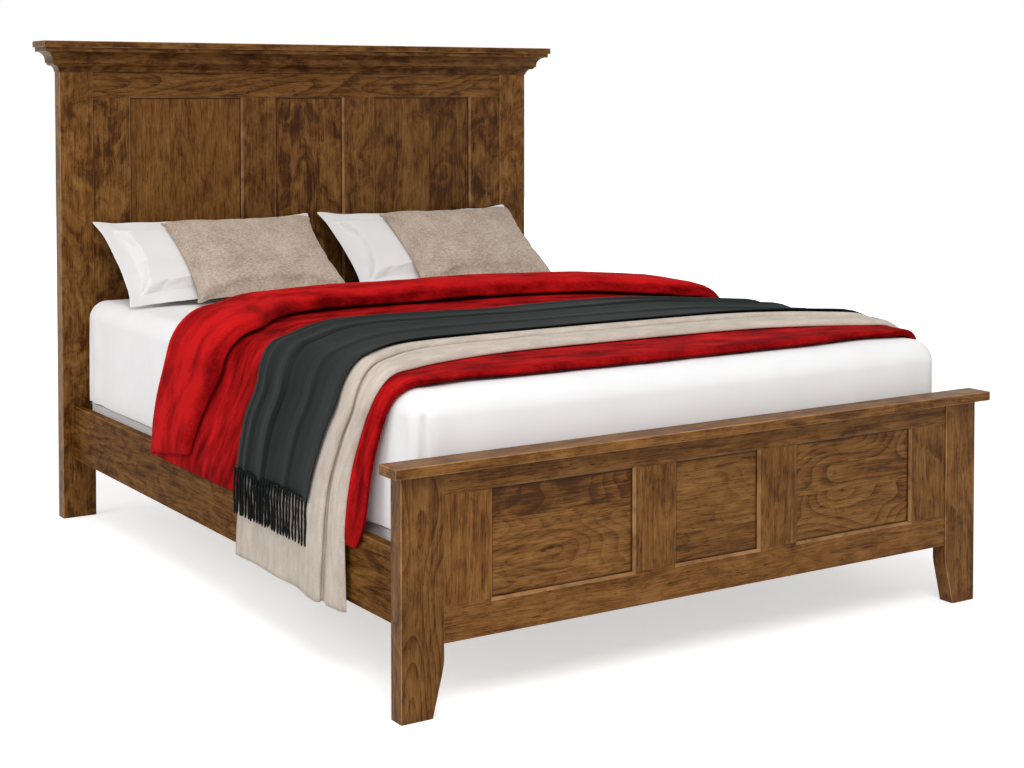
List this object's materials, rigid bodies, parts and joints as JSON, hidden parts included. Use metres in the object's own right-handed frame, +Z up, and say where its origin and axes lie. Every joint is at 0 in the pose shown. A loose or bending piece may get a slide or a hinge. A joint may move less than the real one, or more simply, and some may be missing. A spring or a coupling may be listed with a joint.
{
  "type": "panel bed",
  "caption": "Wooden bed with a panelled headboard and footboard, side rails and slats, dressed with a mattress, pillows, blanket and throws.",
  "frame": {"origin": "on the floor, under the middle of the whole bed", "axes": "+X across the bed to the right as seen from its foot, +Y along the bed towards the headboard, +Z up"},
  "size_m": [1.783, 2.1724, 1.436],
  "materials": {
    "stained_wood": "stained brown, satin lacquer",
    "plain_wood": "planed, unfinished",
    "plate_steel": "pressed, zinc plated",
    "screw_steel": "zinc plated",
    "insert_brass": "turned",
    "pad_plastic": "moulded",
    "foundation_fabric": "woven ticking",
    "mattress_fabric": "smooth white cover",
    "sham_fabric": "smooth white cotton",
    "cushion_fabric": "taupe velvet",
    "blanket_fabric": "red plush",
    "beige_fabric": "brushed, suede-like",
    "charcoal_fabric": "fine knit",
    "fringe_fabric": "twisted yarn"
  },
  "bodies": {
    "frame": {"center_leg_1": "plain_wood", "center_leg_2": "plain_wood", "cleat_left": "plain_wood", "cleat_right": "plain_wood", "cleat_screws": "screw_steel", "foot_post_left": "stained_wood", "foot_post_right": "stained_wood", "footboard_bottom_rail": "stained_wood", "footboard_cap": "stained_wood", "footboard_panel_left": "stained_wood", "footboard_panel_middle": "stained_wood", "footboard_panel_right": "stained_wood", "footboard_stile_1": "stained_wood", "footboard_stile_2": "stained_wood", "footboard_stile_3": "stained_wood", "footboard_stile_4": "stained_wood", "footboard_top_rail": "stained_wood", "foundation": "foundation_fabric", "head_post_left": "stained_wood", "head_post_right": "stained_wood", "headboard_bottom_rail": "stained_wood", "headboard_cap": "stained_wood", "headboard_crown_front": "stained_wood", "headboard_crown_left": "stained_wood", "headboard_crown_right": "stained_wood", "headboard_panel_left": "stained_wood", "headboard_panel_middle": "stained_wood", "headboard_panel_right": "stained_wood", "headboard_stile_1": "stained_wood", "headboard_stile_2": "stained_wood", "headboard_stile_3": "stained_wood", "headboard_stile_4": "stained_wood", "headboard_top_rail": "stained_wood", "leg_screws": "screw_steel", "leveller_insert_1": "insert_brass", "leveller_insert_2": "insert_brass", "post_slot_plates": "plate_steel", "rail_hook_plates": "plate_steel", "side_rail_left": "stained_wood", "side_rail_right": "stained_wood", "slat_1": "plain_wood", "slat_2": "plain_wood", "slat_3": "plain_wood", "slat_4": "plain_wood", "slat_5": "plain_wood", "wood_screws": "screw_steel"},
    "bedding": {"mattress": "mattress_fabric", "red_blanket": "blanket_fabric", "beige_throw": "beige_fabric", "charcoal_throw": "charcoal_fabric", "charcoal_fringe": "fringe_fabric"},
    "cushion_left": {"cushion_left": "cushion_fabric"},
    "cushion_right": {"cushion_right": "cushion_fabric"},
    "leveller_pad_1": {"leveller_pad_1": "pad_plastic"},
    "leveller_pad_2": {"leveller_pad_2": "pad_plastic"},
    "leveller_stem_1": {"leveller_stem_1": "screw_steel"},
    "leveller_stem_2": {"leveller_stem_2": "screw_steel"},
    "sham_left": {"sham_left": "sham_fabric"},
    "sham_right": {"sham_right": "sham_fabric"}
  },
  "joints": [
    {"name": "bedding_lift", "type": "slide", "parent": "frame", "child": "bedding", "axis": [0, 0, 1], "range_m": [0, 0.15]},
    {"name": "sham_left_lift", "type": "slide", "parent": "bedding", "child": "sham_left", "axis": [0, 0, 1], "range_m": [0, 0.15]},
    {"name": "cushion_left_lift", "type": "slide", "parent": "sham_left", "child": "cushion_left", "axis": [0, 0, 1], "range_m": [0, 0.1]},
    {"name": "sham_right_lift", "type": "slide", "parent": "bedding", "child": "sham_right", "axis": [0, 0, 1], "range_m": [0, 0.15]},
    {"name": "cushion_right_lift", "type": "slide", "parent": "sham_right", "child": "cushion_right", "axis": [0, 0, 1], "range_m": [0, 0.1]},
    {"name": "leveller_1_travel", "type": "slide", "parent": "frame", "child": "leveller_pad_1", "axis": [0, 0, 1], "range_m": [0, 0.0121]},
    {"name": "leveller_1_turn", "type": "hinge", "parent": "leveller_pad_1", "child": "leveller_stem_1", "pos_m": [0, -0.44635, 0.014], "axis": [0, 0, 1], "range_deg": [0, 3456]},
    {"name": "leveller_2_travel", "type": "slide", "parent": "frame", "child": "leveller_pad_2", "axis": [0, 0, 1], "range_m": [0, 0.0121]},
    {"name": "leveller_2_turn", "type": "hinge", "parent": "leveller_pad_2", "child": "leveller_stem_2", "pos_m": [0, 0.47235, 0.014], "axis": [0, 0, 1], "range_deg": [0, 3456]}
  ],
  "couplings": [
    {"joint": "leveller_1_travel", "follows": "leveller_1_turn", "m_per_rad": 0.00019894},
    {"joint": "leveller_2_travel", "follows": "leveller_2_turn", "m_per_rad": 0.00019894}
  ]
}
